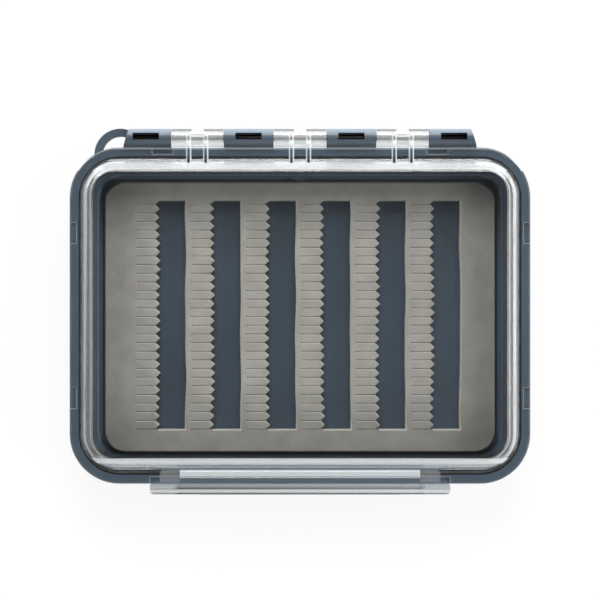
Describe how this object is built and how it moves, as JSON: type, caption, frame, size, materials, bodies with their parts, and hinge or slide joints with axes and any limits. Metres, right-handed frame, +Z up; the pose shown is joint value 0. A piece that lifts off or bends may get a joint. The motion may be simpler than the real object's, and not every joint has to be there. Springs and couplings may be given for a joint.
{
  "type": "fly box",
  "caption": "Shallow pocket case with a hinged clear lid, a rim seal, a snap latch and a slit foam sheet that holds fishing flies.",
  "frame": {"origin": "middle of the tray's flat underside", "axes": "+Z up through the lid, +Y from the latch to the hinge, +X along the hinge pin"},
  "size_m": [0.12, 0.0957, 0.0215],
  "materials": {
    "slate_blue_plastic": "satin moulded ABS",
    "clear_plastic": "polished clear polycarbonate",
    "seal_rubber": "dark silicone cord",
    "grey_foam": "closed-cell foam",
    "adhesive_film": "double-sided film",
    "steel_pin": "drawn wire"
  },
  "bodies": {
    "tray": {"base_tray": "slate_blue_plastic", "slit_foam": "grey_foam", "adhesive_film": "adhesive_film", "o_ring_seal": "seal_rubber", "hinge_pin": "steel_pin", "latch_pin": "steel_pin"},
    "lid": {"lid": "clear_plastic"},
    "latch": {"latch": "clear_plastic"}
  },
  "joints": [
    {"name": "lid_hinge", "type": "hinge", "parent": "tray", "child": "lid", "pos_m": [0, 0.04635, 0.01558], "axis": [-1, 0, 0], "range_deg": [0, 180]},
    {"name": "latch_hinge", "type": "hinge", "parent": "tray", "child": "latch", "pos_m": [0, -0.0419, 0.0102], "axis": [1, 0, 0], "range_deg": [0, 100]}
  ]
}
